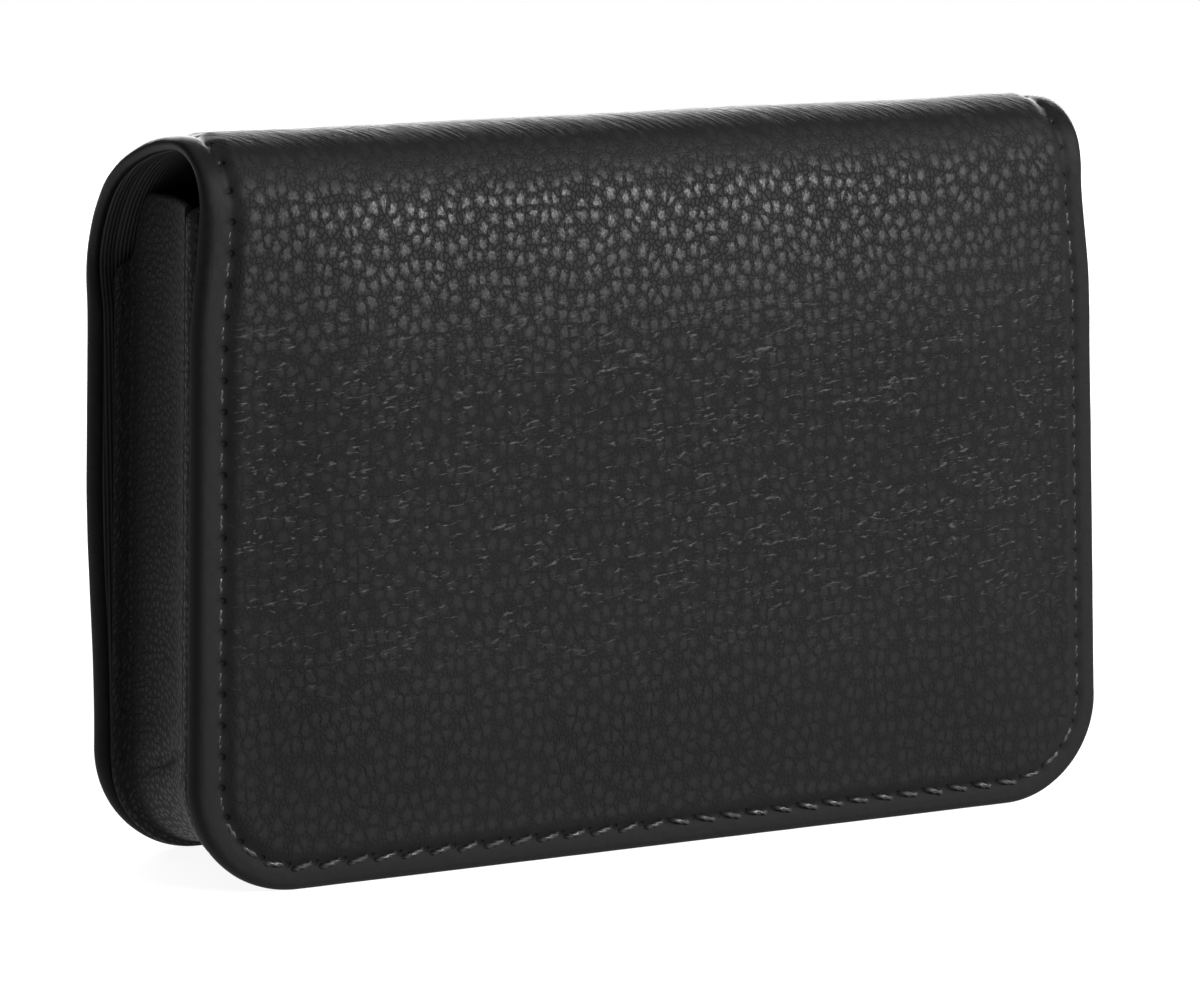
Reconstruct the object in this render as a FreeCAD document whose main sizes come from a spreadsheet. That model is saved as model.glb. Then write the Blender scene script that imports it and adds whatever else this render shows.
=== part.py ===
import FreeCAD, Part
import math
import os
import Sketcher

# A leather card holder: a padded back panel, a soft rolled top and a padded front flap cut
# from one hide, with a gusseted pocket between them that holds business cards.
# X is the width, Y the depth (flap towards -Y) and Z is up; the origin is the middle of the
# footprint that the two panels stand on. Millimetres.

doc = FreeCAD.newDocument("card_holder")
sheet = doc.addObject("Spreadsheet::Sheet", "Sizes")

DRIVING = {
    # overall
    "width_low": 105.4,          # widest, just above the bottom corners
    "width_top": 102.8,          # at the roll
    "depth": 26.9,               # edge border of the flap to edge border of the back
    "height": 74.6,              # stitched border of the roll, at its highest
    "corner": 11.0,              # radius of the two bottom corners
    # layers of the two padded panels
    "panel": 2.6,                # turned edge, all layers together
    "skin": 0.9,                 # outer leather
    "board": 1.0,                # stiffener
    "rim": 1.0,                  # leather turned round the edge
    "edge_round": 0.7,
    "puff": 0.6,                 # padded field above its stitched border
    "field_inset": 3.1,          # from the edge to the padded field
    "play": 0.05,                # room between layers that are glued up
    # stitches
    "seam_inset": 2.5,
    "stitch_pitch": 3.1,
    "stitch_length": 2.4,
    "stitch_radius": 0.33,
    # pocket front
    "flap_gap": 0.3,
    "pocket": 2.2,
    "pocket_inset": 0.2,
    "pocket_skin": 0.7,
    "pocket_board": 0.9,
    "pocket_top": 68.0,
    "pocket_groove": 0.45,
    # rolled top: three arcs, and folds at equal shares of the half turn
    "back_radius": 17.0,
    "back_turn": 67.5,
    "crown_radius": 23.0,
    "crown_turn": 22.5,
    "roll_lining": 0.5,
    "roll_lining_inset": 0.6,
    "fold_gap": 0.2,
    # gusset
    "gusset": 0.9,
    "gusset_front_inset": 0.5,
    "gusset_back_inset": 3.2,
    "gusset_back_corner": 8.5,
    "gusset_floor": 0.6,
    "gusset_top": 69.0,
    "gusset_hem": 2.0,
    "gusset_lining": 0.4,
    "gusset_trim_foot": 60.5,
    "gusset_trim_reach": 6.2,
    "flange_reach": 1.9,
    "flange": 0.7,
    "flange_foot": 10.0,
    # closure
    "disc_radius": 5.0,
    "disc_across": 32.0,
    "disc_up": 16.0,
}

FOLDS = [22.5, 67.5, 112.5, 157.5]   # how far round the half turn each fold lies, in degrees
TURN_NUDGE = 0.01                    # degrees; less than any step between turns
LEAST_CUT = 0.1                      # cubic millimetres that a cut has to take away
OVERCUT = 1.0                        # how far a trimming profile reaches past the solid


class Size:
    """A length or angle held both as a number and as the sheet formula that gives it."""

    def __init__(self, number, formula):
        self.number = number
        self.formula = formula

    def __add__(self, other):
        other = as_size(other)
        return Size(self.number + other.number, f"({self.formula} + {other.formula})")

    def __sub__(self, other):
        other = as_size(other)
        return Size(self.number - other.number, f"({self.formula} - {other.formula})")

    def __mul__(self, other):
        other = as_size(other)
        return Size(self.number * other.number, f"({self.formula} * {other.formula})")

    def __truediv__(self, other):
        other = as_size(other)
        return Size(self.number / other.number, f"({self.formula} / {other.formula})")

    def __neg__(self):
        return Size(-self.number, f"(-1 * {self.formula})")


def as_size(value):
    if isinstance(value, Size):
        return value
    return Size(value, f"({value})")


def sine(angle):
    return Size(math.sin(math.radians(angle.number)), f"sin({angle.formula} * 1 deg)")


def cosine(angle):
    return Size(math.cos(math.radians(angle.number)), f"cos({angle.formula} * 1 deg)")


def fill_sheet():
    for row, (name, value) in enumerate(DRIVING.items(), start=1):
        sheet.set(f"A{row}", name)
        sheet.set(f"B{row}", str(value))
        sheet.setAlias(f"B{row}", name)
    doc.recompute()


def cell(name):
    return Size(DRIVING[name], f"Sizes.{name}")


fill_sheet()

HALF_LOW = cell("width_low") / 2
HALF_TOP = cell("width_top") / 2
FRONT_Y = -(cell("depth") / 2)
BACK_Y = cell("depth") / 2
CORNER = cell("corner")
PANEL = cell("panel")
SKIN = cell("skin")
PUFF = cell("puff")
PLAY = cell("play")
BACK_INNER_Y = BACK_Y - PANEL
POCKET_Y = FRONT_Y + PANEL + cell("flap_gap")
POCKET_INNER_Y = POCKET_Y + cell("pocket")
ZERO = Size(0.0, "0")

# The roll's arcs. Each centre lies so that the three arcs and the flat panels are tangent.
BACK_RADIUS = cell("back_radius")
CROWN_RADIUS = cell("crown_radius")
FRONT_RADIUS = (cell("depth") - BACK_RADIUS * (as_size(1) - cosine(cell("back_turn")))
                - CROWN_RADIUS * sine(cell("crown_turn")))
BACK_TOP = (cell("height") - BACK_RADIUS * sine(cell("back_turn"))
            - CROWN_RADIUS * (as_size(1) - cosine(cell("crown_turn"))))
FLAP_TOP = cell("height") - FRONT_RADIUS
BACK_CENTRE = (BACK_Y - BACK_RADIUS, BACK_TOP)
CROWN_CENTRE = (FRONT_Y + FRONT_RADIUS, cell("height") - CROWN_RADIUS)
FRONT_CENTRE = (FRONT_Y + FRONT_RADIUS, FLAP_TOP)


def arc_at(turn_number, later):
    """Centre and radius of the roll's arc at a turn; later picks the arc that starts there."""
    back_end = DRIVING["back_turn"]
    crown_end = back_end + DRIVING["crown_turn"]
    nudge = TURN_NUDGE if later else -TURN_NUDGE
    if turn_number + nudge < back_end:
        return BACK_CENTRE, BACK_RADIUS
    if turn_number + nudge < crown_end:
        return CROWN_CENTRE, CROWN_RADIUS
    return FRONT_CENTRE, FRONT_RADIUS


def roll_point(turn, later, lift):
    """Point of the roll's section at a turn, lift above the stitched border's surface."""
    (centre_y, centre_z), radius = arc_at(turn.number, later)
    reach = radius + lift
    return centre_y + reach * cosine(turn), centre_z + reach * sine(turn)


# ---------------------------------------------------------------- sketches and features

def new_body(label):
    body = doc.addObject("PartDesign::Body", label)
    body.Label = label
    return body


def new_sketch(body, name, role, offset):
    """A sketch on one of the body's own planes, moved along that plane's normal."""
    sketch = body.newObject("Sketcher::SketchObject", f"{body.Name}_{name}")
    plane = [item for item in body.Origin.OriginFeatures if item.Role == role][0]
    sketch.AttachmentSupport = [(plane, "")]
    sketch.MapMode = "FlatFace"
    sketch.AttachmentOffset = FreeCAD.Placement(
        FreeCAD.Vector(0, 0, offset.number), FreeCAD.Rotation())
    sketch.setExpression("AttachmentOffset.Base.z", offset.formula)
    return sketch


def arc_middle(start, end, radius, bulge):
    """Middle of a minor arc; bulge is +1 when it bows to the left of its run."""
    run = end - start
    half = run.Length / 2
    rise = radius - math.sqrt(max(radius * radius - half * half, 0.0))
    left = FreeCAD.Vector(-run.y, run.x, 0).normalize()
    return start + run * 0.5 + left * (bulge * rise)


def bind(sketch, constraint, name, formula):
    index = sketch.addConstraint(constraint)
    sketch.renameConstraint(index, name)
    sketch.setExpression(f"Constraints.{name}", formula)


def draw_profile(sketch, corners):
    """Closes a profile through corners of (x, y, arc); arc is None or (radius, bulge)."""
    points = [FreeCAD.Vector(x.number, y.number, 0) for x, y, arc in corners]
    count = len(corners)
    for index, (x, y, arc) in enumerate(corners):
        start = points[index]
        end = points[(index + 1) % count]
        if arc is None:
            sketch.addGeometry(Part.LineSegment(start, end), False)
        else:
            middle = arc_middle(start, end, arc[0].number, arc[1])
            first, last = (end, start) if arc[1] > 0 else (start, end)
            sketch.addGeometry(Part.Arc(first, middle, last), False)
    starts = []
    ends = []
    for index in range(count):
        edge = sketch.Geometry[index]
        first_is_start = (edge.StartPoint - points[index]).Length < 1e-6
        starts.append(1 if first_is_start else 2)
        ends.append(2 if first_is_start else 1)
    for index in range(count):
        following = (index + 1) % count
        sketch.addConstraint(Sketcher.Constraint(
            "Coincident", index, ends[index], following, starts[following]))
    for index, (x, y, arc) in enumerate(corners):
        bind(sketch, Sketcher.Constraint("DistanceX", -1, 1, index, starts[index], x.number),
             f"x{index}", x.formula)
        bind(sketch, Sketcher.Constraint("DistanceY", -1, 1, index, starts[index], y.number),
             f"y{index}", y.formula)
        if arc is not None:
            bind(sketch, Sketcher.Constraint("Radius", index, arc[0].number),
                 f"r{index}", arc[0].formula)


def pad(body, name, sketch, length, both_ways=False):
    feature = body.newObject("PartDesign::Pad", f"{body.Name}_{name}")
    feature.Profile = sketch
    feature.Length = length.number
    feature.setExpression("Length", length.formula)
    if both_ways:
        feature.SideType = "Symmetric"
    doc.recompute()


def cut(body, name, sketch, depth, reversed_way=False, both_ways=False):
    """A pocket; it stops the build if it takes nothing away."""
    before = body.Shape.Volume
    feature = body.newObject("PartDesign::Pocket", f"{body.Name}_{name}")
    feature.Profile = sketch
    feature.Length = depth.number
    feature.setExpression("Length", depth.formula)
    feature.Reversed = reversed_way
    if both_ways:
        feature.SideType = "Symmetric"
    doc.recompute()
    if body.Shape.Volume > before - LEAST_CUT:
        raise RuntimeError(f"{body.Name}_{name} cut nothing")


def plate(body, name, corners, far_y, thickness):
    """A pad from the plane y = far_y towards -Y."""
    sketch = new_sketch(body, f"{name}_outline", "XZ_Plane", -far_y)
    draw_profile(sketch, corners)
    pad(body, name, sketch, thickness)


def roll_band(body, name, turn_from, turn_to, lift_in, lift_out, half_width):
    """A length of the roll between two turns and two lifts, as wide as 2 * half_width."""
    turns = [turn_from]
    for joint in (DRIVING["back_turn"], DRIVING["back_turn"] + DRIVING["crown_turn"]):
        if turn_from.number + TURN_NUDGE < joint < turn_to.number - TURN_NUDGE:
            turns.append(as_size(joint))
    turns.append(turn_to)
    corners = []
    for start, end in zip(turns, turns[1:]):
        y, z = roll_point(start, True, lift_out)
        corners.append((y, z, (arc_at(start.number, True)[1] + lift_out, -1)))
    y, z = roll_point(turn_to, False, lift_out)
    corners.append((y, z, None))
    backwards = turns[::-1]
    for start, end in zip(backwards, backwards[1:]):
        y, z = roll_point(start, False, lift_in)
        corners.append((y, z, (arc_at(start.number, False)[1] + lift_in, 1)))
    y, z = roll_point(turn_from, True, lift_in)
    corners.append((y, z, None))
    sketch = new_sketch(body, f"{name}_section", "YZ_Plane", ZERO)
    draw_profile(sketch, corners)
    pad(body, name, sketch, half_width * 2, both_ways=True)


def fold_turn(index, side):
    """Turn of the cut beside fold index: half the fold's gap before or after it."""
    turn = FOLDS[index]
    radius = arc_at(turn, side > 0)[1]
    slack = cell("fold_gap") / 2 / radius * (180 / math.pi)
    return as_size(turn) + slack * side


def round_edges(body, name, wanted):
    """Fillets the edges of the tip that wanted(edge) picks."""
    base = body.Tip
    names = [f"Edge{index}" for index, edge in enumerate(base.Shape.Edges, start=1)
             if wanted(edge)]
    feature = body.newObject("PartDesign::Fillet", f"{body.Name}_{name}")
    feature.Base = (base, names)
    feature.Radius = DRIVING["edge_round"]
    feature.setExpression("Radius", cell("edge_round").formula)
    doc.recompute()


# ---------------------------------------------------------------- outlines

def u_corners(half_top, half_low, corner, floor, top):
    """U outline, from its top left corner round the bottom to its top right."""
    return [
        (-half_top, top, None),
        (-half_low, floor + corner, (corner, -1)),
        (corner - half_low, floor, None),
        (half_low - corner, floor, (corner, -1)),
        (half_low, floor + corner, None),
        (half_top, top, None),
    ]


def panel_corners(inset, top):
    """The outline that the flap and the back share, moved in by inset."""
    return u_corners(HALF_TOP - inset, HALF_LOW - inset, CORNER - inset, inset, top)


def gusset_corners(share, extra, top):
    """The gusset's outline at a share of the way from the pocket (0) to the back (1)."""
    front_corner = CORNER - cell("gusset_front_inset")
    inset = lerp(cell("gusset_front_inset"), cell("gusset_back_inset"), share) + extra
    corner = lerp(front_corner, cell("gusset_back_corner"), share) - extra
    return u_corners(HALF_TOP - inset, HALF_LOW - inset, corner,
                     cell("gusset_floor") + extra, top)


def lerp(start, end, share):
    return start + (end - start) * share


def band_corners(outer, inner):
    """A band between two U outlines: down the outer one and back along the inner one."""
    back_run = []
    for index in range(len(inner) - 1, -1, -1):
        x, y, arc = inner[index]
        before = inner[index - 1][2] if index > 0 else None
        back_run.append((x, y, (before[0], -before[1]) if before else None))
    return outer + back_run


# ---------------------------------------------------------------- padded panels

class Panel:
    """A padded panel, its layers given by their depth below the stitched border's face."""

    def __init__(self, name, border_y, outward, top, turn_from, turn_to):
        self.name = name
        self.border_y = border_y
        self.outward = outward
        self.top = top
        self.turn_from = turn_from
        self.turn_to = turn_to

    def at(self, depth):
        """Y of a layer boundary; outward is +1 on the back and -1 on the flap."""
        return self.border_y - depth * self.outward

    def layer(self, body, name, corners, upper, lower):
        """A sheet between two depths, upper being the one nearer the outside."""
        far = upper if self.outward > 0 else lower
        return plate(body, name, corners, self.at(far), lower - upper)

    def hollow(self, body, name, corners, upper):
        """A hollow cut from the panel's inner face up to a depth."""
        sketch = new_sketch(body, f"{name}_outline", "XZ_Plane", -self.at(PANEL))
        draw_profile(sketch, corners)
        cut(body, name, sketch, PANEL - upper, reversed_way=self.outward < 0)

    def leather(self):
        """Outer leather: a tray with a raised field, and its share of the roll."""
        body = new_body(f"{self.name}_leather")
        field_inset = cell("field_inset")
        self.layer(body, "tray", panel_corners(ZERO, self.top), ZERO, PANEL)
        self.layer(body, "field", panel_corners(field_inset, self.top), -PUFF, SKIN / 2)
        self.hollow(body, "board_hollow", panel_corners(cell("rim"), self.top), SKIN)
        wadding = panel_corners(field_inset + PUFF, self.top - cell("rim"))
        self.hollow(body, "wadding_hollow", wadding, SKIN - PUFF)
        roll_leather(body, self.turn_from, self.turn_to)
        border = self.border_y.number
        round_edges(body, "edge", lambda edge: is_rim_edge(edge, border, self.top.number))

    def wadding(self):
        body = new_body(f"{self.name}_wadding")
        corners = panel_corners(cell("field_inset") + PUFF + PLAY, self.top - cell("rim") - PLAY)
        self.layer(body, "sheet", corners, SKIN - PUFF + PLAY, SKIN)

    def board(self):
        body = new_body(f"{self.name}_board")
        corners = panel_corners(cell("rim") + PLAY, self.top - cell("rim"))
        self.layer(body, "sheet", corners, SKIN + PLAY, SKIN + cell("board"))
        return body

    def lining(self):
        """Lining sheet, stepped up over the end of the board to line the roll."""
        body = new_body(f"{self.name}_lining")
        side = cell("rim") + PLAY
        board_end = SKIN + cell("board") + PLAY
        self.layer(body, "sheet", panel_corners(side, self.top), board_end, PANEL)
        half = HALF_TOP - side
        foot = self.top - cell("rim") + PLAY
        step = [(-half, foot, None), (half, foot, None), (half, self.top, None),
                (-half, self.top, None)]
        self.layer(body, "step", step, SKIN + PLAY, PANEL)
        roll_sheet(body, self.turn_from, self.turn_to)


def is_rim_edge(edge, border_y, top):
    """True for an edge that runs round the outside of a panel's border face."""
    box = edge.BoundBox
    if abs(box.YMin - border_y) > 1e-4 or abs(box.YMax - border_y) > 1e-4:
        return False
    middle = edge.valueAt((edge.FirstParameter + edge.LastParameter) / 2)
    inset = DRIVING["field_inset"]
    if box.ZMin > top - inset / 2:
        return False
    low = DRIVING["width_low"] / 2
    narrow = DRIVING["width_top"] / 2
    corner = DRIVING["corner"]
    if middle.z > corner:
        share = (middle.z - corner) / (top - corner)
        return abs(middle.x) > low + (narrow - low) * share - inset / 2
    if abs(middle.x) < low - corner:
        return middle.z < inset / 2
    return math.hypot(abs(middle.x) - low + corner, corner - middle.z) > corner - inset / 2


def roll_leather(body, turn_from, turn_to):
    """Leather of a length of the roll: a thin border and a raised field between."""
    roll_band(body, "roll_border", turn_from, turn_to, -SKIN, ZERO, HALF_TOP)
    roll_band(body, "roll_field", turn_from, turn_to, -SKIN / 2, PUFF,
              HALF_TOP - cell("field_inset"))


def roll_sheet(body, turn_from, turn_to):
    """Lining of a length of the roll, just inside its leather."""
    roll_band(body, "roll_lining", turn_from, turn_to, -SKIN - cell("roll_lining"),
              -SKIN - PLAY, HALF_TOP - cell("roll_lining_inset"))


# ---------------------------------------------------------------- pocket and gusset

def make_pocket_leather():
    """Pocket front: leather turned over a board on all four sides, grooved for its seam."""
    body = new_body("pocket_leather")
    inset = cell("pocket_inset")
    top = cell("pocket_top")
    plate(body, "tray", panel_corners(inset, top), POCKET_INNER_Y, cell("pocket"))
    hollow = new_sketch(body, "hollow_outline", "XZ_Plane", -POCKET_INNER_Y)
    draw_profile(hollow, panel_corners(inset + cell("rim"), top - cell("rim")))
    cut(body, "hollow", hollow, cell("pocket") - cell("pocket_skin"), reversed_way=True)
    half_groove = cell("pocket_groove")
    groove_top = top - cell("seam_inset")
    groove = new_sketch(body, "groove_outline", "XZ_Plane", -POCKET_Y)
    draw_profile(groove, band_corners(
        panel_corners(cell("seam_inset") - half_groove, groove_top),
        panel_corners(cell("seam_inset") + half_groove, groove_top)))
    cut(body, "groove", groove, cell("pocket_groove"))


def make_pocket_layers():
    """Board and lining inside the pocket front's turned edges."""
    inset = cell("pocket_inset") + cell("rim") + PLAY
    top = cell("pocket_top") - cell("rim") - PLAY
    skin_y = POCKET_Y + cell("pocket_skin")
    board_far_y = skin_y + PLAY + cell("pocket_board")
    board = new_body("pocket_board")
    plate(board, "sheet", panel_corners(inset, top), board_far_y, cell("pocket_board"))
    disc_holes(board, board_far_y, cell("pocket_board"))
    lining = new_body("pocket_lining")
    plate(lining, "sheet", panel_corners(inset, top), POCKET_INNER_Y,
          POCKET_INNER_Y - board_far_y - PLAY)


def loft_band(body, name, front, front_y, back, back_y):
    """A ruled band between two U bands, one in each of two planes."""
    first = new_sketch(body, f"{name}_front", "XZ_Plane", -front_y)
    draw_profile(first, front)
    second = new_sketch(body, f"{name}_back", "XZ_Plane", -back_y)
    draw_profile(second, back)
    feature = body.newObject("PartDesign::AdditiveLoft", f"{body.Name}_{name}")
    feature.Profile = first
    feature.Sections = [second]
    feature.Ruled = True
    doc.recompute()


def trim_under_roll(body):
    """Slopes the strip's top corners down towards the back, clear of the roll."""
    foot = cell("gusset_trim_foot")
    top = cell("gusset_top") + OVERCUT
    slope_y = BACK_INNER_Y - cell("gusset_trim_reach")
    sketch = new_sketch(body, "trim_section", "YZ_Plane", ZERO)
    past_y = BACK_INNER_Y + OVERCUT
    draw_profile(sketch, [(past_y, foot, None), (past_y, top, None), (slope_y, top, None),
                          (BACK_INNER_Y, foot, None)])
    cut(body, "trim", sketch, cell("width_low"), both_ways=True)


def make_gusset():
    """One U-shaped strip: left side, floor and right side, with its seam allowances."""
    body = new_body("gusset")
    top = cell("gusset_top")
    wall = cell("gusset")
    loft_band(body, "strip",
              band_corners(gusset_corners(0, ZERO, top), gusset_corners(0, wall, top)),
              POCKET_INNER_Y,
              band_corners(gusset_corners(1, ZERO, top), gusset_corners(1, wall, top)),
              BACK_INNER_Y)
    turned = cell("flange")
    front_top = cell("pocket_top")
    plate(body, "front_allowance",
          band_corners(gusset_corners(0, wall / 2, front_top),
                       gusset_corners(0, wall + cell("flange_reach"), front_top)),
          POCKET_INNER_Y + turned, turned)
    foot = cell("flange_foot")
    head = cell("gusset_trim_foot") - OVERCUT
    low_x = HALF_LOW - cell("gusset_back_inset")
    top_x = HALF_TOP - cell("gusset_back_inset")
    rise = (head - foot) / (top - foot)
    head_x = low_x + (top_x - low_x) * rise
    for word, side in (("left", -1), ("right", 1)):
        corners = [((low_x - wall / 2) * side, foot, None),
                   ((low_x + cell("flange_reach")) * side, foot, None),
                   ((head_x + cell("flange_reach")) * side, head, None),
                   ((head_x - wall / 2) * side, head, None)]
        plate(body, f"{word}_allowance", corners, BACK_INNER_Y, turned)
    trim_under_roll(body)


def make_gusset_lining():
    """Fabric that lines the inside of the gusset strip, behind its front allowance."""
    body = new_body("gusset_lining")
    top = cell("gusset_top") - cell("gusset_hem")
    outer = cell("gusset") + PLAY
    inner = outer + cell("gusset_lining")
    depth = BACK_INNER_Y - POCKET_INNER_Y
    front_y = POCKET_INNER_Y + cell("flange") + PLAY
    share = (front_y - POCKET_INNER_Y) / depth
    back_y = BACK_INNER_Y - PLAY
    loft_band(body, "strip",
              band_corners(gusset_corners(share, outer, top), gusset_corners(share, inner, top)),
              front_y,
              band_corners(gusset_corners(1, outer, top), gusset_corners(1, inner, top)),
              back_y)
    trim_under_roll(body)


# ---------------------------------------------------------------- closure

def disc_holes(body, far_y, depth):
    """Two round holes for the closure discs, through a board that ends at y = far_y."""
    sketch = new_sketch(body, "disc_outline", "XZ_Plane", -far_y)
    radius = cell("disc_radius") + PLAY * 2
    for index, side in enumerate((-1, 1)):
        across = cell("disc_across") * side
        centre = FreeCAD.Vector(across.number, cell("disc_up").number, 0)
        sketch.addGeometry(Part.Circle(centre, FreeCAD.Vector(0, 0, 1), radius.number), False)
        bind(sketch, Sketcher.Constraint("DistanceX", -1, 1, index, 3, across.number),
             f"x{index}", across.formula)
        bind(sketch, Sketcher.Constraint("DistanceY", -1, 1, index, 3, centre.y),
             f"y{index}", cell("disc_up").formula)
        bind(sketch, Sketcher.Constraint("Radius", index, radius.number),
             f"r{index}", radius.formula)
    cut(body, "disc_holes", sketch, depth, reversed_way=True)


def closure_discs(label, start_y, thickness):
    """Two thin discs that lie along Y in a board's holes."""
    discs = []
    for word, side in (("left", -1), ("right", 1)):
        disc = doc.addObject("Part::Cylinder", f"{label}_{word}")
        disc.setExpression("Radius", cell("disc_radius").formula)
        disc.setExpression("Height", thickness.formula)
        disc.Placement = FreeCAD.Placement(
            FreeCAD.Vector(0, 0, 0), FreeCAD.Rotation(FreeCAD.Vector(1, 0, 0), -90))
        disc.setExpression("Placement.Base.x", (cell("disc_across") * side).formula)
        disc.setExpression("Placement.Base.y", start_y.formula)
        disc.setExpression("Placement.Base.z", cell("disc_up").formula)
        discs.append(disc)
    pair = doc.addObject("Part::Compound", label)
    pair.Label = label
    pair.Links = discs
    doc.recompute()


# ---------------------------------------------------------------- stitches

def stitch(point, along, up):
    """A half-round stitch, flat on the leather at point."""
    length = DRIVING["stitch_length"]
    radius = DRIVING["stitch_radius"]
    across = up.cross(along)
    half = Part.makeCylinder(radius, length, FreeCAD.Vector(0, 0, -length / 2),
                             FreeCAD.Vector(0, 0, 1), 180)
    # the half cylinder's flat side is its XZ plane and its crown is +Y
    frame = FreeCAD.Matrix(across.x, up.x, along.x, point.x,
                           across.y, up.y, along.y, point.y,
                           across.z, up.z, along.z, point.z,
                           0, 0, 0, 1)
    half.Placement = FreeCAD.Placement(frame)
    return half


def seam_wire(inset, top):
    """The seam's line in X and Z: down one side, along the bottom and up the other."""
    half_top = HALF_TOP.number - inset
    half_low = HALF_LOW.number - inset
    radius = CORNER.number - inset
    corner_x = half_low - radius
    corner_z = inset + radius
    drop = radius * math.sqrt(0.5)
    left = [(-half_top, top), (-half_low, corner_z)]
    right = [(half_low, corner_z), (half_top, top)]
    edges = [Part.makeLine(flat(*left[0]), flat(*left[1])),
             Part.Arc(flat(*left[1]), flat(-corner_x - drop, corner_z - drop),
                      flat(-corner_x, inset)).toShape(),
             Part.makeLine(flat(-corner_x, inset), flat(corner_x, inset)),
             Part.Arc(flat(corner_x, inset), flat(corner_x + drop, corner_z - drop),
                      flat(*right[0])).toShape(),
             Part.makeLine(flat(*right[0]), flat(*right[1]))]
    return Part.Wire(edges)


def flat(x, z):
    return FreeCAD.Vector(x, 0, z)


def panel_stitches(face_y, outward, top):
    """Evenly spaced stitches round the three sides of a panel."""
    wire = seam_wire(DRIVING["seam_inset"], top)
    count = round(wire.Length / DRIVING["stitch_pitch"])
    marks = wire.discretize(Number=2 * count + 1)
    up = FreeCAD.Vector(0, outward, 0)
    found = []
    for index in range(1, 2 * count, 2):
        along = (marks[index + 1] - marks[index - 1]).normalize()
        point = FreeCAD.Vector(marks[index].x, face_y, marks[index].z)
        found.append(stitch(point, along, up))
    return found


def roll_stitches(turn_from, turn_to):
    """Stitches along both ends of a length of the roll, clear of the folds."""
    spans = []
    length = 0.0
    steps = 60      # small steps that add up the length along the arcs
    for index in range(steps):
        turn = turn_from + (turn_to - turn_from) * (index + 0.5) / steps
        radius = arc_at(turn, True)[1].number
        length += radius * math.radians(turn_to - turn_from) / steps
        spans.append((length, turn))
    count = max(1, round(length / DRIVING["stitch_pitch"]))
    found = []
    for index in range(count):
        reach = length * (index + 0.5) / count
        turn = min(spans, key=lambda span: abs(span[0] - reach))[1]
        angle = math.radians(turn)
        y, z = roll_point(as_size(turn), True, ZERO)
        up = FreeCAD.Vector(0, math.cos(angle), math.sin(angle))
        along = FreeCAD.Vector(0, -math.sin(angle), math.cos(angle))
        for side in (-1, 1):
            across = side * (HALF_TOP.number - DRIVING["seam_inset"])
            found.append(stitch(FreeCAD.Vector(across, y.number, z.number), along, up))
    return found


def add_stitching(label, stitches):
    feature = doc.addObject("Part::Feature", label)
    feature.Label = label
    feature.Shape = Part.makeCompound(stitches)


# ---------------------------------------------------------------- the whole holder

def make_panels():
    half_turn = as_size(180.0)
    back = Panel("back", BACK_Y, 1, BACK_TOP, ZERO, fold_turn(0, -1))
    flap = Panel("flap", FRONT_Y, -1, FLAP_TOP, fold_turn(3, 1), half_turn)
    for panel in (back, flap):
        panel.leather()
        panel.wadding()
        board = panel.board()
        panel.lining()
        if panel is flap:
            disc_holes(board, FRONT_Y + SKIN + cell("board"), cell("board"))
    closure_discs("flap_magnets", FRONT_Y + SKIN + PLAY * 2, cell("board") - PLAY * 3)
    closure_discs("pocket_magnets", POCKET_Y + cell("pocket_skin") + PLAY * 2,
                  cell("pocket_board") - PLAY * 2)


def make_roll():
    """The three loose lengths of the roll, between neighbouring folds."""
    for index, name in enumerate(("roll_back", "roll_top", "roll_front")):
        turn_from = fold_turn(index, 1)
        turn_to = fold_turn(index + 1, -1)
        leather = new_body(f"{name}_leather")
        roll_leather(leather, turn_from, turn_to)
        lining = new_body(f"{name}_lining")
        roll_sheet(lining, turn_from, turn_to)
        add_stitching(f"{name}_stitching", roll_stitches(FOLDS[index], FOLDS[index + 1]))


def make_stitching():
    back_seam = panel_stitches(BACK_Y.number, 1, BACK_TOP.number)
    add_stitching("back_stitching", back_seam + roll_stitches(0.0, FOLDS[0]))
    flap_seam = panel_stitches(FRONT_Y.number, -1, FLAP_TOP.number)
    add_stitching("flap_stitching", flap_seam + roll_stitches(FOLDS[3], 180.0))
    groove_y = POCKET_Y.number + DRIVING["pocket_groove"]
    pocket_seam_top = DRIVING["pocket_top"] - DRIVING["seam_inset"]
    add_stitching("pocket_stitching", panel_stitches(groove_y, -1, pocket_seam_top))


def is_sub_part(item):
    """The objects that are pieces of the holder, not features or tools of one."""
    if item.TypeId in ("PartDesign::Body", "Part::Compound"):
        return True
    return item.TypeId == "Part::Feature"


def write_parts():
    os.makedirs("parts", exist_ok=True)
    for item in doc.Objects:
        if "Invalid" in item.State or "Error" in item.State:
            raise RuntimeError(f"{item.Name} failed: {item.State}")
    for item in doc.Objects:
        if not is_sub_part(item):
            continue
        shape = item.Shape
        if shape.isNull() or not shape.isValid() or shape.Volume <= 0:
            raise RuntimeError(f"{item.Label} has no valid shape")
        shape.exportStep(f"parts/{item.Label}.step")
        print(item.Label, len(shape.Solids), round(shape.Volume, 1))


make_panels()
make_roll()
make_pocket_leather()
make_pocket_layers()
make_gusset()
make_gusset_lining()
make_stitching()
doc.recompute()
write_parts()
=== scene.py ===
import math

import bmesh
import bpy
import numpy as np
from mathutils import Matrix, Vector


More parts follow.
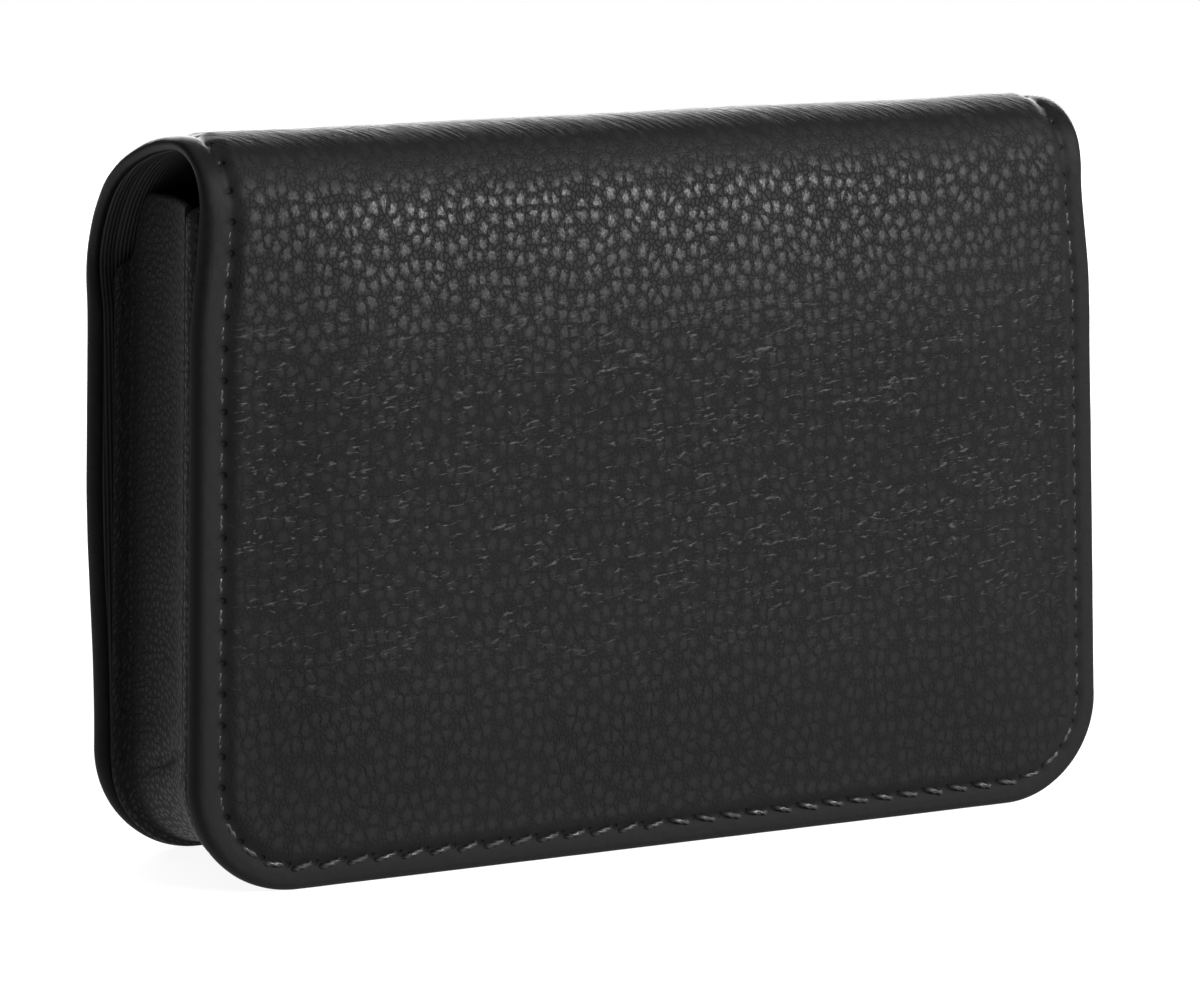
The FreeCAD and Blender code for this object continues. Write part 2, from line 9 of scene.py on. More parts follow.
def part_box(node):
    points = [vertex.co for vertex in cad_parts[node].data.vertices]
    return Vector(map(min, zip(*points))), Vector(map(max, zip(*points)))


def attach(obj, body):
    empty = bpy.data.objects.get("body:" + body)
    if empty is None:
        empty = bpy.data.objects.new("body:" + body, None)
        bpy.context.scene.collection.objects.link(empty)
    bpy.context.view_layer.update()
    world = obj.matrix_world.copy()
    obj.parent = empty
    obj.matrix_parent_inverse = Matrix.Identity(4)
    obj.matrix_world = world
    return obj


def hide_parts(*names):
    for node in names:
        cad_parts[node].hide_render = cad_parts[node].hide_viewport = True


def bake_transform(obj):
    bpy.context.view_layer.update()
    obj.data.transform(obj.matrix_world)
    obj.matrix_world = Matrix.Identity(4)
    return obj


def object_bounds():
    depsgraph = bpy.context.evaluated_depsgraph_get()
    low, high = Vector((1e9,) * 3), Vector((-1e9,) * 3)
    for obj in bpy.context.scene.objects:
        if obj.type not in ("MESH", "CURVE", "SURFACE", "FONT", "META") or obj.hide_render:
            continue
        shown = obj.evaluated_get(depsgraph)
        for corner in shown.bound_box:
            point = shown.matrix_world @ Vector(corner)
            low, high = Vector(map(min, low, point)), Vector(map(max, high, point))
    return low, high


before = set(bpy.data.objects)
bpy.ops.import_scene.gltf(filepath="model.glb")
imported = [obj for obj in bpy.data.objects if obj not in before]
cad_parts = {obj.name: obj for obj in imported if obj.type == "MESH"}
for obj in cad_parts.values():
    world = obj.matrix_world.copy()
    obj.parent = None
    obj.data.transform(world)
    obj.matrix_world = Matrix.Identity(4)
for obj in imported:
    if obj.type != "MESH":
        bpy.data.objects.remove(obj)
CAD_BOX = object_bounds()

# A leather card holder. Lengths in this script are millimetres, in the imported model's frame:
# X is the width, Y the depth (flap towards -Y) and Z is up. Meshes are written in metres.
MM = 0.001


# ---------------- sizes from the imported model

def node_box(node):
    """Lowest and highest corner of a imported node, in millimetres."""
    low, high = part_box(node)
    return [value / MM for value in low], [value / MM for value in high]


PUFF = 0.6                     # the padded field above its stitched border
PANEL = 2.6                    # turned edge of a panel, all its layers
CORNER = 11.0                  # radius of the bottom corners
BACK_RADIUS = 17.0             # the roll's three arcs
CROWN_RADIUS = 23.0
BACK_TURN = math.radians(67.5)
CROWN_TURN = math.radians(22.5)
ROLL_END = 1.4                 # leather and lining together, at the ends of the roll
SEAM = 2.5                     # from the edge to the row of stitches
PITCH = 3.1                    # of the stitches
HIDE_UNIT = 100.0              # millimetres to one unit of the pieces' "hide" UV layer
SEAM_UNIT = 10.0               # millimetres of inset to one unit of the "seam" UV layer

HALF_LOW = node_box("flap_leather")[1][0]
HALF_TOP = node_box("roll_top_leather")[1][0]
FRONT_Y = node_box("flap_leather")[0][1] + PUFF
BACK_Y = node_box("back_leather")[1][1] - PUFF
HEIGHT = CAD_BOX[1][2] / MM - PUFF
POCKET_LOW, POCKET_HIGH = node_box("pocket_leather")
GUSSET_LOW, GUSSET_HIGH = node_box("gusset")

FRONT_RADIUS = (BACK_Y - FRONT_Y - BACK_RADIUS * (1 - math.cos(BACK_TURN))
                - CROWN_RADIUS * math.sin(CROWN_TURN))
BACK_TOP = (HEIGHT - BACK_RADIUS * math.sin(BACK_TURN)
            - CROWN_RADIUS * (1 - math.cos(CROWN_TURN)))
FLAP_TOP = HEIGHT - FRONT_RADIUS

# The hide's length s runs up the back (below 0), over the roll and down the flap.
BACK_ARC = BACK_RADIUS * BACK_TURN
CROWN_ARC = CROWN_RADIUS * CROWN_TURN
FRONT_ARC = FRONT_RADIUS * math.pi / 2
ROLL = BACK_ARC + CROWN_ARC + FRONT_ARC


def turn_at(s):
    """Angle round the roll at a length s, from 0 on the back to pi on the flap."""
    s = np.clip(s, 0.0, ROLL)
    in_back = np.minimum(s, BACK_ARC) / BACK_RADIUS
    in_crown = np.clip(s - BACK_ARC, 0.0, CROWN_ARC) / CROWN_RADIUS
    in_front = np.clip(s - BACK_ARC - CROWN_ARC, 0.0, FRONT_ARC) / FRONT_RADIUS
    return in_back + in_crown + in_front


def length_at(degrees):
    """Length s at a turn of the roll."""
    turn = math.radians(degrees)
    in_back = min(turn, BACK_TURN) * BACK_RADIUS
    in_crown = min(max(turn - BACK_TURN, 0.0), CROWN_TURN) * CROWN_RADIUS
    in_front = max(turn - BACK_TURN - CROWN_TURN, 0.0) * FRONT_RADIUS
    return in_back + in_crown + in_front


def section_point(s, lift):
    """Y and Z of the hide's section at a length s and a lift above the border's surface."""
    turn = turn_at(s)
    in_back = turn < BACK_TURN
    in_crown = ~in_back & (turn < BACK_TURN + CROWN_TURN)
    radius = np.where(in_back, BACK_RADIUS, np.where(in_crown, CROWN_RADIUS, FRONT_RADIUS))
    centre_y = np.where(in_back, BACK_Y - BACK_RADIUS, FRONT_Y + FRONT_RADIUS)
    centre_z = np.where(in_back, BACK_TOP, np.where(in_crown, HEIGHT - CROWN_RADIUS, FLAP_TOP))
    straight = np.minimum(s, 0.0) - np.maximum(s - ROLL, 0.0)
    y = centre_y + (radius + lift) * np.cos(turn)
    z = centre_z + (radius + lift) * np.sin(turn) + straight
    return y, z


# ---------------- small shaping functions

def smooth(value):
    """0 below 0, 1 above 1, and an easy rise between."""
    value = np.clip(value, 0.0, 1.0)
    return value * value * (3 - 2 * value)


def bump(distance, width):
    """A bell of height 1 about 0."""
    return np.exp(-(distance / width) ** 2)


def soft_noise(u, v, seed):
    """Smooth noise from -1 to 1, with features about one unit across."""
    size = 128
    table = np.random.default_rng(seed).uniform(-1, 1, (size, size))
    column, row = np.floor(u).astype(int), np.floor(v).astype(int)
    across, up = smooth(u - column), smooth(v - row)
    low = table[row % size, column % size] * (1 - across)
    low = low + table[row % size, (column + 1) % size] * across
    high = table[(row + 1) % size, column % size] * (1 - across)
    high = high + table[(row + 1) % size, (column + 1) % size] * across
    return low * (1 - up) + high * up


def steps(length, spacing, fine_start=False, fine_end=False):
    """Fractions from 0 to 1 about spacing apart, with close ones beside a cut."""
    beside_cut = 0.06
    count = max(2, round(length / spacing))
    marks = list(np.linspace(0, 1, count + 1))
    close = beside_cut / length
    if fine_start:
        marks.insert(1, close)
    if fine_end:
        marks.insert(-1, 1 - close)
    return np.array(marks)


# ---------------- outlines

def u_half(half_top, half_low, corner, floor, top, marks):
    """Right half of a U outline in X and Z, from the middle of its floor to its top."""
    floor_marks, corner_marks, leg_marks = marks
    centre_x = half_low - corner
    angle = (corner_marks - 1) * math.pi / 2
    x = np.concatenate([centre_x * floor_marks, centre_x + corner * np.cos(angle),
                        half_low + (half_top - half_low) * leg_marks])
    leg_foot = floor + corner
    z = np.concatenate([floor + 0 * floor_marks, leg_foot + corner * np.sin(angle),
                        leg_foot + (top - leg_foot) * leg_marks])
    return x, z


def ring_corner(inset):
    """Corner radius of the ring at an inset; it closes up in the middle of the panel."""
    knee = 5.0
    if inset < knee:
        return CORNER - inset
    return (CORNER - knee) * (HALF_TOP - inset) / (HALF_TOP - knee)


def panel_ring(inset, top, marks):
    """Right half of a panel's ring at an inset, shrinking to nothing in the middle."""
    share = 1 - inset / HALF_TOP
    return u_half(HALF_TOP * share, HALF_LOW * share, ring_corner(inset), inset, top, marks)


def u_marks(half_low, corner, floor, top, spacing):
    """Fractions for the floor, the corner and the leg, with no point twice."""
    floor_marks = steps(half_low - corner, spacing)[:-1]
    corner_marks = steps(corner * math.pi / 2, spacing)[:-1]
    leg_marks = steps(top - floor - corner, spacing)
    return floor_marks, corner_marks, leg_marks


FOOT_WAIST = 0.3               # how far the back's foot draws in
BACK_SWELL = 1.05              # how far the back widens above its foot
SHOULDER_SWELL = 0.15          # and a little more where the roll starts
CROWN_WAIST = 1.3              # how far the roll narrows over its crown
FLAP_SWELL = 0.85              # how far the flap widens below the roll


def bowed(s):
    """Extra half width of the hide at a length s, where its sides bow in and out."""
    on_back = BACK_SWELL * smooth((s + 45) / 28) - FOOT_WAIST
    on_roll = SHOULDER_SWELL * smooth((s + 4) / 8) - CROWN_WAIST * smooth((s - 12) / 16)
    on_flap = FLAP_SWELL * smooth((s - ROLL) / 13)
    return on_back + on_roll + on_flap


class Run:
    """A length of the hide, as stations from the back's foot towards the flap's foot."""

    def __init__(self, start, end, spacing):
        self.start = start
        self.end = end
        self.with_back = start is None
        self.with_flap = end is None
        self.roll_from = 0.0 if self.with_back else length_at(start)
        self.roll_to = ROLL if self.with_flap else length_at(end)
        marks = steps(self.roll_to - self.roll_from, spacing,
                      fine_start=not self.with_back, fine_end=not self.with_flap)
        self.roll_s = self.roll_from + (self.roll_to - self.roll_from) * marks
        self.back_marks = u_marks(HALF_LOW, CORNER, 0.0, BACK_TOP, spacing)
        self.flap_marks = u_marks(HALF_LOW, CORNER, 0.0, FLAP_TOP, spacing)

    def line(self, inset):
        """X and length s of the right half of the ring at an inset."""
        xs, lengths = [], []
        if self.with_back:
            x, z = panel_ring(inset, BACK_TOP, self.back_marks)
            xs.append(x[:-1])
            lengths.append(z[:-1] - BACK_TOP)
        xs.append(np.full(len(self.roll_s), HALF_TOP * (1 - inset / HALF_TOP)))
        lengths.append(self.roll_s)
        if self.with_flap:
            x, z = panel_ring(inset, FLAP_TOP, self.flap_marks)
            xs.append(x[:-1][::-1])
            lengths.append(ROLL + FLAP_TOP - z[:-1][::-1])
        x, s = np.concatenate(xs), np.concatenate(lengths)
        return x * (1 + bowed(s) / HALF_TOP), s


def distance_along(x, s):
    """Running length along a line of points on the flattened hide."""
    hops = np.hypot(np.diff(x), np.diff(s))
    return np.concatenate([[0.0], np.cumsum(hops)])


WHOLE = Run(None, None, 0.2)   # the whole hide, finely, to lay the seam out on
SEAM_X, SEAM_S = WHOLE.line(SEAM)
SEAM_ALONG = distance_along(SEAM_X, SEAM_S)
STITCH_COUNT = round(SEAM_ALONG[-1] / PITCH)
STITCH_STEP = SEAM_ALONG[-1] / STITCH_COUNT


def seam_phase(run):
    """Stitch count along the seam at each station of a run, from the back's foot."""
    x, s = run.line(SEAM)
    along = distance_along(x, s)
    if not run.with_back:
        along = along + np.interp(run.roll_from, SEAM_S, SEAM_ALONG)
    return along / STITCH_STEP


# ---------------- meshes

def write_mesh(name, corners, faces, layers, material, body=None, weld=0.002):
    """A smooth mesh piece from points in millimetres, with its UV layers."""
    mesh = bpy.data.meshes.new(name)
    mesh.from_pydata((corners * MM).tolist(), [], faces.tolist())
    vertex = np.empty(len(mesh.loops), dtype=np.int32)
    mesh.loops.foreach_get("vertex_index", vertex)
    for layer_name, values in layers.items():
        layer = mesh.uv_layers.new(name=layer_name)
        layer.uv.foreach_set("vector", values[vertex].astype(np.float32).ravel())
    work = bmesh.new()
    work.from_mesh(mesh)
    if weld:
        bmesh.ops.remove_doubles(work, verts=work.verts, dist=weld * MM)
    bmesh.ops.recalc_face_normals(work, faces=work.faces)
    work.to_mesh(mesh)
    work.free()
    mesh.polygons.foreach_set("use_smooth", np.ones(len(mesh.polygons), dtype=bool))
    mesh.materials.append(material)
    piece = bpy.data.objects.new(name, mesh)
    bpy.context.scene.collection.objects.link(piece)
    if body:
        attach(piece, body)
    return piece


def grid_faces(rows, columns, flipped=False, offset=0):
    """Quads of a grid of points stored row by row."""
    index = np.arange(rows * columns).reshape(rows, columns) + offset
    quads = [index[:-1, :-1], index[:-1, 1:], index[1:, 1:], index[1:, :-1]]
    if flipped:
        quads = quads[::-1]
    return np.stack([quad.ravel() for quad in quads], axis=1)


def two_halves(name, rows, row_points, material, body=None):
    """A piece in a right and a left half, each a grid with one line of points to a row.

    row_points takes a row and a side, 1 or -1, and gives the points and their UV layers.
    """
    corners, faces = [], []
    layers = {}
    count = 0
    for side in (1, -1):
        for row in rows:
            points, places = row_points(row, side)
            corners.append(points)
            for layer, values in places.items():
                layers.setdefault(layer, []).append(values)
        columns = len(points)
        faces.append(grid_faces(len(rows), columns, side < 0, count))
        count += len(rows) * columns
    layers = {layer: np.concatenate(values) for layer, values in layers.items()}
    return write_mesh(name, np.concatenate(corners), np.concatenate(faces), layers, material,
                      body)


def hide_mesh(name, run, rows, material):
    """A length of the hide; a row is (inset, unrolled inset, lift function)."""
    phase = seam_phase(run)

    def row_points(row, side):
        inset, unrolled, lift_of = row
        x, s = run.line(inset)
        y, z = section_point(s, lift_of(x * side, s, inset, phase))
        flat_x, flat_s = run.line(unrolled)
        layers = {"hide": np.stack([flat_x * side, flat_s], axis=1) / HIDE_UNIT,
                  "seam": np.stack([phase, np.full(len(phase), unrolled / SEAM_UNIT)], axis=1)}
        return np.stack([x * side, y, z], axis=1), layers

    return two_halves(name, rows, row_points, material)


# ---------------- the hide

def roll_share(s):
    """1 on the roll and 0 on the two flat panels."""
    return smooth((s + 4) / 8) * smooth((ROLL + 3 - s) / 8)


def edge_depth(s):
    """Thickness of the turned edge: thick round the panels and thin at the roll's ends."""
    return PANEL + (ROLL_END - PANEL) * smooth((s + 2) / 8) * smooth((ROLL + 2 - s) / 8)


BULGE_SLOPE = 0.125            # how fast the field swells below the roll
BULGE_EASE = 5.0
BULGE_RUN = 22.0


def bulge(past_roll):
    """Swell of a panel's field at a distance past the roll's end; negative is on the roll."""
    easing = np.clip(past_roll + BULGE_EASE, 0.0, BULGE_EASE)
    run = np.clip(past_roll, 0.0, BULGE_RUN)
    return BULGE_SLOPE * (easing ** 2 / (2 * BULGE_EASE) + run - run ** 2 / (2 * BULGE_RUN))


def field_height(x, s, inset):
    """How far the padded field stands above its border.

    Each line is a depth in millimetres times a pattern with its sizes in millimetres.
    """
    on_roll = roll_share(s)
    sag = 0.05 * bump(x - 6, 22) - 0.35
    humps = 0.08 * bump(np.abs(x) - 44, 4)
    slow = 0.08 * soft_noise(x / 17 + 9, s / 13, 3)
    ripples = 0.03 * soft_noise((x + 0.8 * s) / 5, (s - 0.8 * x) / 12, 4)
    pebbles = 0.03 * soft_noise(x / 1.7, s / 2.1, 5)
    pillow = 1 - bump(max(inset - 3.5, 0.0), 9)
    swell = pillow * (bulge(s - ROLL) + 0.6 * bulge(-s))
    return PUFF + on_roll * (sag + humps) + slow + ripples + pebbles + swell


def outer_lift(x, s, inset, phase):
    """Outer face: an edge ridge, the stitched groove and the rise to the padded field."""
    between = 0.5 - 0.5 * np.cos(2 * math.pi * phase)      # 1 in the middle of a stitch
    ridge = 0.06 * bump(inset - 1.45, 0.75) * (1 - 0.3 * between)
    ridge = ridge * (1 + 0.5 * soft_noise(phase * 2.3, x * 0 + 3, 8))
    groove = -0.17 * bump(inset - SEAM, 0.42) * (1.15 - 0.3 * between)
    holes = -0.22 * bump(inset - SEAM, 0.3) * (1 - between) ** 6
    rise = smooth((inset - 2.75) / 1.35)
    wrinkle = 0.05 * bump(inset - 3.6, 0.9) * np.cos(2 * math.pi * phase)
    return ridge + groove + holes + rise * field_height(x, s, inset) + wrinkle


def edge_row(inset, unrolled, fraction):
    """A row on the turned edge, fraction of the way through its thickness."""
    def lift(x, s, row_inset, phase):
        wave = 0.04 * soft_noise(phase * 1.1, x * 0 + fraction * 3, 9)
        return -edge_depth(s) * fraction + wave
    return inset, unrolled, lift


def inner_row(inset, depth):
    """A row on the inner face, which lies under the lining from an inset of 1.1."""
    def lift(x, s, row_inset, phase):
        return -edge_depth(s) + depth
    return inset, -PANEL - inset, lift


# The inner face from the middle out: (inset, height above the innermost level).
INNER_FACE = [(HALF_TOP, 0.55), (26.0, 0.55), (6.0, 0.55), (1.5, 0.5), (1.15, 0.12), (0.85, 0.0)]
# The turned edge from the inside out: (inset, unrolled inset, share of the thickness).
TURNED_EDGE = [(0.42, -2.75, 0.995), (0.15, -2.4, 0.9), (0.02, -2.0, 0.76), (-0.04, -1.5, 0.6),
               (0.0, -1.0, 0.42), (0.08, -0.55, 0.25), (0.3, -0.1, 0.1), (0.6, 0.3, 0.01)]
BORDER_START, BORDER_END, BORDER_STEP = 0.95, 5.0, 0.27


def outer_rows(spacing):
    """Rows of a closed section: inner face, turned edge, stitched border and padded field."""
    rows = [inner_row(inset, depth) for inset, depth in INNER_FACE]
    rows += [edge_row(inset, unrolled, fraction) for inset, unrolled, fraction in TURNED_EDGE]
    insets = list(np.arange(BORDER_START, BORDER_END, BORDER_STEP))
    field_count = round((HALF_TOP - BORDER_END) / spacing)
    insets += list(np.linspace(BORDER_END, HALF_TOP, field_count + 1))
    rows += [(inset, inset, outer_lift) for inset in insets]
    return rows


def lining_lift(level):
    """The lining at a level above the innermost one; its face is slack inside the seam."""
    def lift(x, s, inset, phase):
        groove = 0.14 * bump(inset - SEAM, 0.4) * smooth(inset / 1.5)
        slack = 0.07 * soft_noise(x / 9, s / 11, 21) * smooth((inset - 3) / 4)
        return -edge_depth(s) + level + (groove + slack if level < 0 else 0.0)
    return lift


def lining_rows(spacing):
    """Lining: its folded edge and its visible face."""
    face = lining_lift(-0.1)
    rows = [(1.02, 0.9, lining_lift(0.3)), (0.98, 1.0, lining_lift(0.02)),
            (1.08, 1.1, lining_lift(-0.06))]
    insets = list(np.arange(1.25, 4.0, 0.3))
    insets += list(np.linspace(4.0, HALF_TOP, round((HALF_TOP - 4.0) / spacing) + 1))
    rows += [(inset, inset, face) for inset in insets]
    return rows


# ---------------- stitches

STRANDS = 3
HALF_STITCH = 0.4              # from a stitch's middle to its ends, in steps of the seam


def thread_grid(length, radius, sink, slant):
    """One twisted stitch along X, lying on Z = 0: points of shape (along, round, 3)."""
    along = np.linspace(-0.5, 0.5, 15)[:, None]
    around = np.linspace(0, 2 * math.pi, 13)[None, :-1]
    lobes = 1 + 0.2 * np.cos(STRANDS * (around - along * 5.2))
    taper = 1 - 0.35 * (2 * np.abs(along)) ** 4
    size = radius * lobes * taper
    arch = radius * 0.75 - sink * (2 * np.abs(along)) ** 5
    x = along * length + 0 * around
    y = size * np.cos(around) + slant * along
    z = size * np.sin(around) + arch
    return np.stack([x, y, z], axis=2)


def stitch_mesh(name, places, material, length=2.5, radius=0.25):
    """Stitches at places of (point, along, out, slant), as one piece."""
    corners, faces = [], []
    wave = np.random.default_rng(31)
    for point, along, out, slant in places:
        across = np.cross(out, along)
        grid = thread_grid(length * wave.uniform(0.92, 1.04), radius * wave.uniform(0.93, 1.07),
                           0.55, slant * wave.uniform(0.7, 1.3))
        placed = (point + grid[..., :1] * along + grid[..., 1:2] * across
                  + grid[..., 2:3] * out)
        rings, around = grid.shape[:2]
        base = sum(len(part) for part in corners)
        index = np.arange(rings * around).reshape(rings, around) + base
        after = np.roll(index, -1, axis=1)
        faces.append(np.stack([index[:-1].ravel(), after[:-1].ravel(), after[1:].ravel(),
                               index[1:].ravel()], axis=1))
        corners.append(placed.reshape(-1, 3))
    return write_mesh(name, np.concatenate(corners), np.concatenate(faces), {}, material,
                      weld=None)


def hide_point(x, s, lift):
    """A point of the hide in space, in millimetres."""
    y, z = section_point(np.array(s), np.array(lift))
    return np.array([x, float(y), float(z)])


def stitch_place(first, last, out, slant):
    """How one stitch lies between two points: (middle, direction, outwards, slant)."""
    along = (last - first) / np.linalg.norm(last - first)
    return (first + last) / 2, along, out, slant


def seam_places(start, end, inner):
    """Stitch places on one face of the hide, between two lengths along its seam."""
    places = []
    for index in range(STITCH_COUNT):
        middle = (index + 0.5) * STITCH_STEP
        s = np.interp(middle, SEAM_ALONG, SEAM_S)
        if not start <= s < end:
            continue
        ends = [middle - STITCH_STEP * HALF_STITCH, middle + STITCH_STEP * HALF_STITCH]
        x = np.interp([middle] + ends, SEAM_ALONG, SEAM_X)
        lengths = np.interp([middle] + ends, SEAM_ALONG, SEAM_S)
        for side in (1, -1):
            upright = abs(lengths[2] - lengths[1]) / (2 * HALF_STITCH * STITCH_STEP)
            sunk = 0.05 + 0.5 * upright
            level = 0.1 + sunk - float(edge_depth(s)) if inner else -sunk
            first = hide_point(x[1] * side, lengths[1], level)
            last = hide_point(x[2] * side, lengths[2], level)
            turn = float(turn_at(np.array(s)))
            out = np.array([0.0, math.cos(turn), math.sin(turn)]) * (-1 if inner else 1)
            slant = 0.5 * side * (-1 if s > ROLL / 2 else 1) * (1 - upright)
            places.append(stitch_place(first, last, out, slant))
    return places


# ---------------- materials

class Shader:
    """A material's node tree, with short ways to add and join nodes."""

    def __init__(self, name):
        self.material = bpy.data.materials.new(name)
        self.material.use_nodes = True
        self.tree = self.material.node_tree
        self.surface = self.tree.nodes["Principled BSDF"]

    def add(self, kind, inputs=None, **settings):
        node = self.tree.nodes.new(kind)
        for key, value in settings.items():
            setattr(node, key, value)
        for key, value in (inputs or {}).items():
            self.feed(value, node.inputs[key])
        return node

    def feed(self, value, socket):
        if isinstance(value, bpy.types.NodeSocket):
            self.tree.links.new(value, socket)
        else:
            socket.default_value = value

    def maths(self, operation, first, second=0.0, third=0.0):
        node = self.add("ShaderNodeMath", {0: first, 1: second, 2: third}, operation=operation)
        return node.outputs[0]

    def times(self, first, *others):
        """The product of several values."""
        product = first
        for other in others:
            product = self.maths("MULTIPLY", product, other)
        return product

    def plus(self, base, value, amount):
        """The base with an amount of a value added."""
        return self.maths("MULTIPLY_ADD", value, amount, base)

    def ramp(self, mask, at_zero, at_one):
        """at_zero where a mask is 0, at_one where it is 1, and in proportion between."""
        return self.maths("MULTIPLY_ADD", mask, at_one - at_zero, at_zero)

    def blend_colours(self, share, first, second):
        node = self.add("ShaderNodeMix", data_type="RGBA")
        self.feed(share, node.inputs[0])
        self.feed(first, node.inputs[6])
        self.feed(second, node.inputs[7])
        return node.outputs[2]

    def spread(self, value, low, high, to_low=0.0, to_high=1.0):
        """Maps a value from low..high to another range, smoothly and clamped."""
        node = self.add("ShaderNodeMapRange",
                        {"Value": value, "From Min": low, "From Max": high,
                         "To Min": to_low, "To Max": to_high},
                        interpolation_type="SMOOTHSTEP")
        return node.outputs[0]

    def coordinates(self, layer, scale=(1, 1, 1), turn=0.0):
        """A UV layer, turned and then scaled, so that streaks can lie at a slant."""
        source = self.add("ShaderNodeUVMap", uv_map=layer)
        mapping = self.add("ShaderNodeMapping", {"Vector": source.outputs[0]},
                           vector_type="TEXTURE")
        mapping.inputs["Scale"].default_value = [1 / value for value in scale]
        mapping.inputs["Rotation"].default_value = (0, 0, turn)
        return mapping.outputs[0]

    def noise(self, vector, scale, detail=2.0, roughness=0.5):
        node = self.add("ShaderNodeTexNoise", {"Vector": vector, "Scale": scale,
                                               "Detail": detail, "Roughness": roughness})
        return node.outputs["Fac"]

    def cells(self, vector, scale, feature, randomness=1.0):
        """Distances in a flat pattern of cells."""
        node = self.add("ShaderNodeTexVoronoi", {"Vector": vector, "Scale": scale,
                                                 "Randomness": randomness},
                        feature=feature, voronoi_dimensions="2D")
        return node.outputs["Distance"]

    def colour(self, tone):
        self.feed(tone, self.surface.inputs["Base Color"])

    def roughness(self, value):
        self.feed(value, self.surface.inputs["Roughness"])

    def finish(self, height, distance_mm):
        """Embosses a height pattern, and gives back the material."""
        relief = self.add("ShaderNodeBump", {"Height": height, "Strength": 1.0,
                                             "Distance": distance_mm * MM})
        self.feed(relief.outputs[0], self.surface.inputs["Normal"])
        return self.material

    def constants(self, **values):
        """Sets the surface's own sockets; a name has _ for each space."""
        for key, value in values.items():
            self.surface.inputs[key.replace("_", " ")].default_value = value


def grey(level):
    return level, level, level, 1.0


def warped(shader, vector, scale, amount):
    """Coordinates pushed about by noise, so that cells aren't polygons."""
    noise = shader.add("ShaderNodeTexNoise", {"Vector": vector, "Scale": scale, "Detail": 2.0})
    shift = shader.add("ShaderNodeVectorMath", {0: noise.outputs["Color"],
                                                1: (0.5, 0.5, 0.5)}, operation="SUBTRACT")
    scaled = shader.add("ShaderNodeVectorMath", {0: shift.outputs[0]}, operation="SCALE")
    scaled.inputs["Scale"].default_value = amount
    moved = shader.add("ShaderNodeVectorMath", {0: vector, 1: scaled.outputs[0]})
    return moved.outputs[0]


def pebble_height(shader, flat, width, length):
    """Height from 0 in the creases to 1 on the crowns, and a mask of the crowns.

    Pebbles of a width and a length in millimetres stand among small grains, which show
    where the pebbles are low.
    """
    stretch = shader.add("ShaderNodeVectorMath", {0: flat}, operation="MULTIPLY")
    stretch.inputs[1].default_value = (HIDE_UNIT / width, HIDE_UNIT / length, 1.0)
    pushed = warped(shader, stretch.outputs[0], 0.7, 0.35)
    pushed = warped(shader, pushed, 4.0, 0.12)
    centre = shader.cells(pushed, 1.0, "F1", randomness=0.8)
    edge = shader.cells(pushed, 1.0, "DISTANCE_TO_EDGE", randomness=0.8)
    wrinkled = warped(shader, pushed, 3.5, 0.14)
    fine = shader.cells(wrinkled, 2.9, "DISTANCE_TO_EDGE")
    dome = shader.times(shader.spread(centre, 0.14, 0.58, 1.0, 0.0),
                        shader.spread(edge, 0.02, 0.2))
    small = shader.spread(fine, 0.0, 0.2)
    raised = shader.maths("MAXIMUM", small, shader.times(dome, 0.9))
    height = shader.plus(shader.times(dome, 0.5), raised, 0.5)
    crown = shader.times(shader.ramp(dome, 0.38, 1.0), shader.ramp(raised, 0.1, 1.0))
    return height, crown


def hide_places(shader):
    """Distance across the hide and its length s, in millimetres."""
    where = shader.add("ShaderNodeSeparateXYZ", {0: shader.coordinates("hide")})
    return shader.times(where.outputs[0], HIDE_UNIT), shader.times(where.outputs[1], HIDE_UNIT)


def wear_and_glints(shader, length):
    """Masks of the flap's worn middle, its wavy creases and the painted glints on them.

    The creases are contour lines of a slanting noise; finer noise breaks them into short painted
    glints.
    """
    middle = shader.times(shader.spread(length, 46, 56), shader.spread(length, 75, 95, 1.0, 0.0))
    slant = -0.14
    waves = shader.noise(shader.coordinates("hide", (18, 62, 1), slant), 1.0, 2.0, 0.6)
    contour = shader.maths("ABSOLUTE", shader.maths("SUBTRACT", waves, 0.5))
    creases = shader.times(shader.spread(contour, 0.0, 0.035, 1.0, 0.0), middle)
    patches = shader.noise(shader.coordinates("hide", (75, 260, 1), slant), 1.0, 2.0, 0.7)
    # Painted highlight mask: short glints along the wavy creases.
    painted_glints = shader.times(creases, shader.spread(patches, 0.5, 0.64))
    return middle, creases, painted_glints


def seam_masks(shader):
    """Masks of the needle holes and of the field inside the stitched border."""
    seam = shader.add("ShaderNodeSeparateXYZ", {0: shader.coordinates("seam")})
    stitches, inset = seam.outputs[0], seam.outputs[1]
    inside_seam = 0.2
    across = shader.maths("MULTIPLY_ADD", inset, SEAM_UNIT, -SEAM - inside_seam)
    cycle = shader.maths("FRACT", shader.maths("ADD", stitches, 0.5))
    along = shader.times(shader.maths("SUBTRACT", cycle, 0.5), PITCH)
    squares = shader.maths("ADD", shader.maths("POWER", across, 2.0),
                           shader.maths("POWER", along, 2.0))
    holes = shader.spread(shader.maths("SQRT", squares), 0.15, 0.4, 1.0, 0.0)
    return holes, shader.spread(inset, 2.9 / SEAM_UNIT, 4.5 / SEAM_UNIT)


